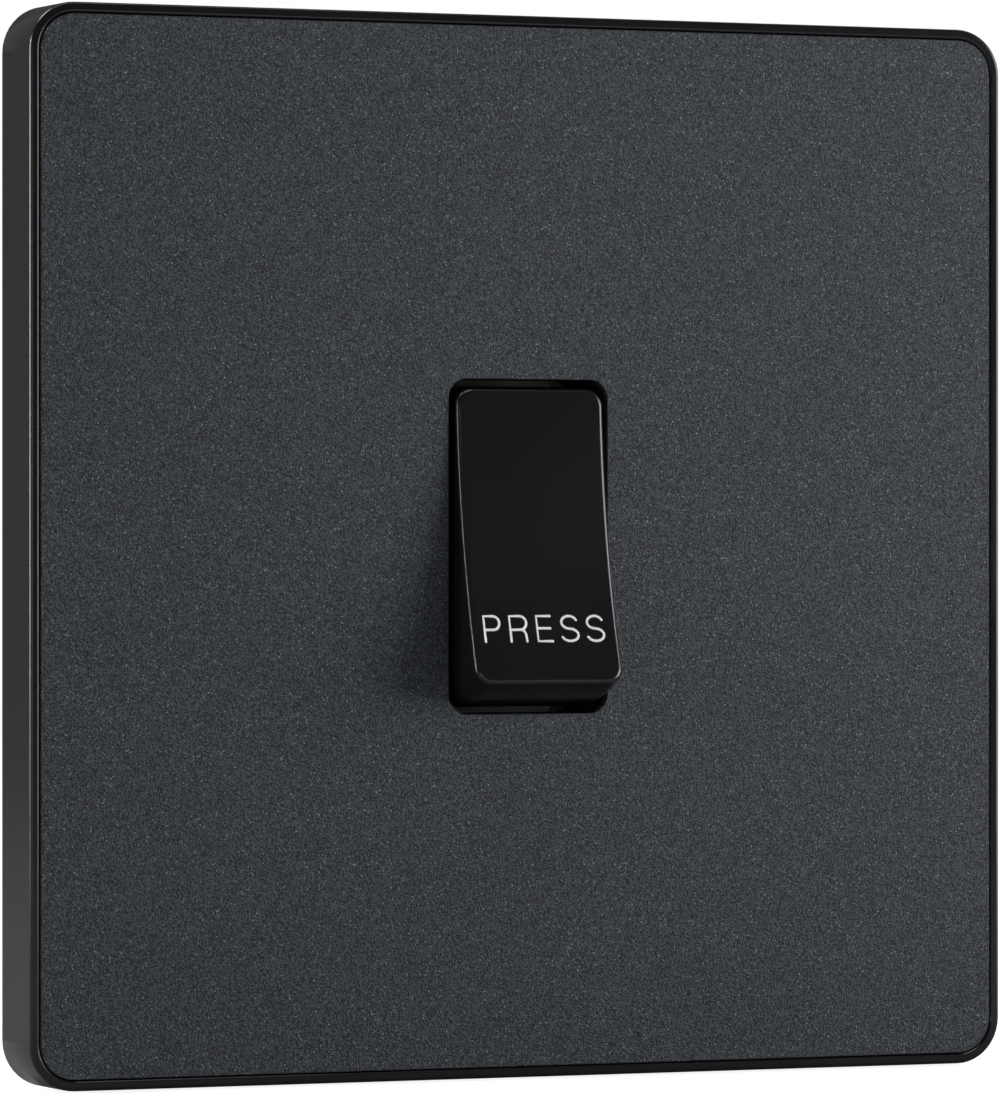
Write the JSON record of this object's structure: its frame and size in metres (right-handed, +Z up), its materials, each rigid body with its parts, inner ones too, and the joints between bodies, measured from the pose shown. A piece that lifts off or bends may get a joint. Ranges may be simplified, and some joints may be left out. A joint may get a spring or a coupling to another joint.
{
  "type": "push button light switch",
  "caption": "Square screwless wall plate with a sprung press rocker in its middle, clipped over a steel yoke that carries a see-saw switch module with brass terminals.",
  "frame": {"origin": "middle of the two fixing screws, on the wall plane that the surround's rear rim rests on", "axes": "+X to the right as one faces the switch, +Z up, +Y into the wall; the face looks along -Y"},
  "size_m": [0.093, 0.0342, 0.093],
  "materials": {
    "black_moulding": "black moulded polycarbonate, satin",
    "slate_paint": "slate grey metallic powder coat with a fine grain",
    "zinc_steel": "bright zinc plate on pressed steel",
    "screw_steel": "zinc plated",
    "module_black": "black moulded nylon, fine matt",
    "module_white": "white moulded urea, satin",
    "rocker_black": "black moulded plastic, smooth satin",
    "plunger_nylon": "natural nylon",
    "spring_steel": "drawn spring wire",
    "contact_brass": "rolled brass strip",
    "contact_silver": "silver alloy, dull",
    "terminal_brass": "machined brass"
  },
  "bodies": {
    "plate": {"trim_frame": "black_moulding", "face_plate": "slate_paint", "mounting_yoke": "zinc_steel", "fixing_screw_left": "screw_steel", "fixing_screw_right": "screw_steel", "switch_bezel": "module_black", "switch_housing": "module_white", "return_spring": "spring_steel", "fixed_contact_tips": "contact_silver", "l1_terminal": "terminal_brass", "l2_terminal": "terminal_brass", "common_terminal": "terminal_brass", "l1_screw": "screw_steel", "l2_screw": "screw_steel", "common_screw": "screw_steel", "case_screws": "screw_steel", "earth_terminal": "terminal_brass", "earth_screw": "screw_steel"},
    "rocker": {"rocker": "rocker_black", "plunger_spring": "spring_steel"},
    "plunger": {"rocker_plunger": "plunger_nylon"},
    "contact": {"moving_contact": "contact_brass", "moving_contact_tips": "contact_silver"}
  },
  "joints": [
    {"name": "rocker_press", "type": "hinge", "parent": "plate", "child": "rocker", "pos_m": [0, -0.0044, 0], "axis": [1, 0, 0], "range_deg": [0, 20.4], "stiffness_Nm_per_rad": 0.05, "springref_deg": -20.05, "deforming": ["return_spring"]},
    {"name": "plunger_slide", "type": "slide", "parent": "rocker", "child": "plunger", "axis": [0, -0.9842, 0.1771], "range_m": [0, 0.0008], "stiffness_N_per_m": 300, "springref_m": -0.002, "deforming": ["plunger_spring"]},
    {"name": "contact_tilt", "type": "hinge", "parent": "plate", "child": "contact", "pos_m": [0, 0.00725, 0], "axis": [1, 0, 0], "range_deg": [-10, 0]}
  ],
  "couplings": [
    {"joint": "contact_tilt", "follows": "rocker_press", "ratio": -0.49}
  ]
}
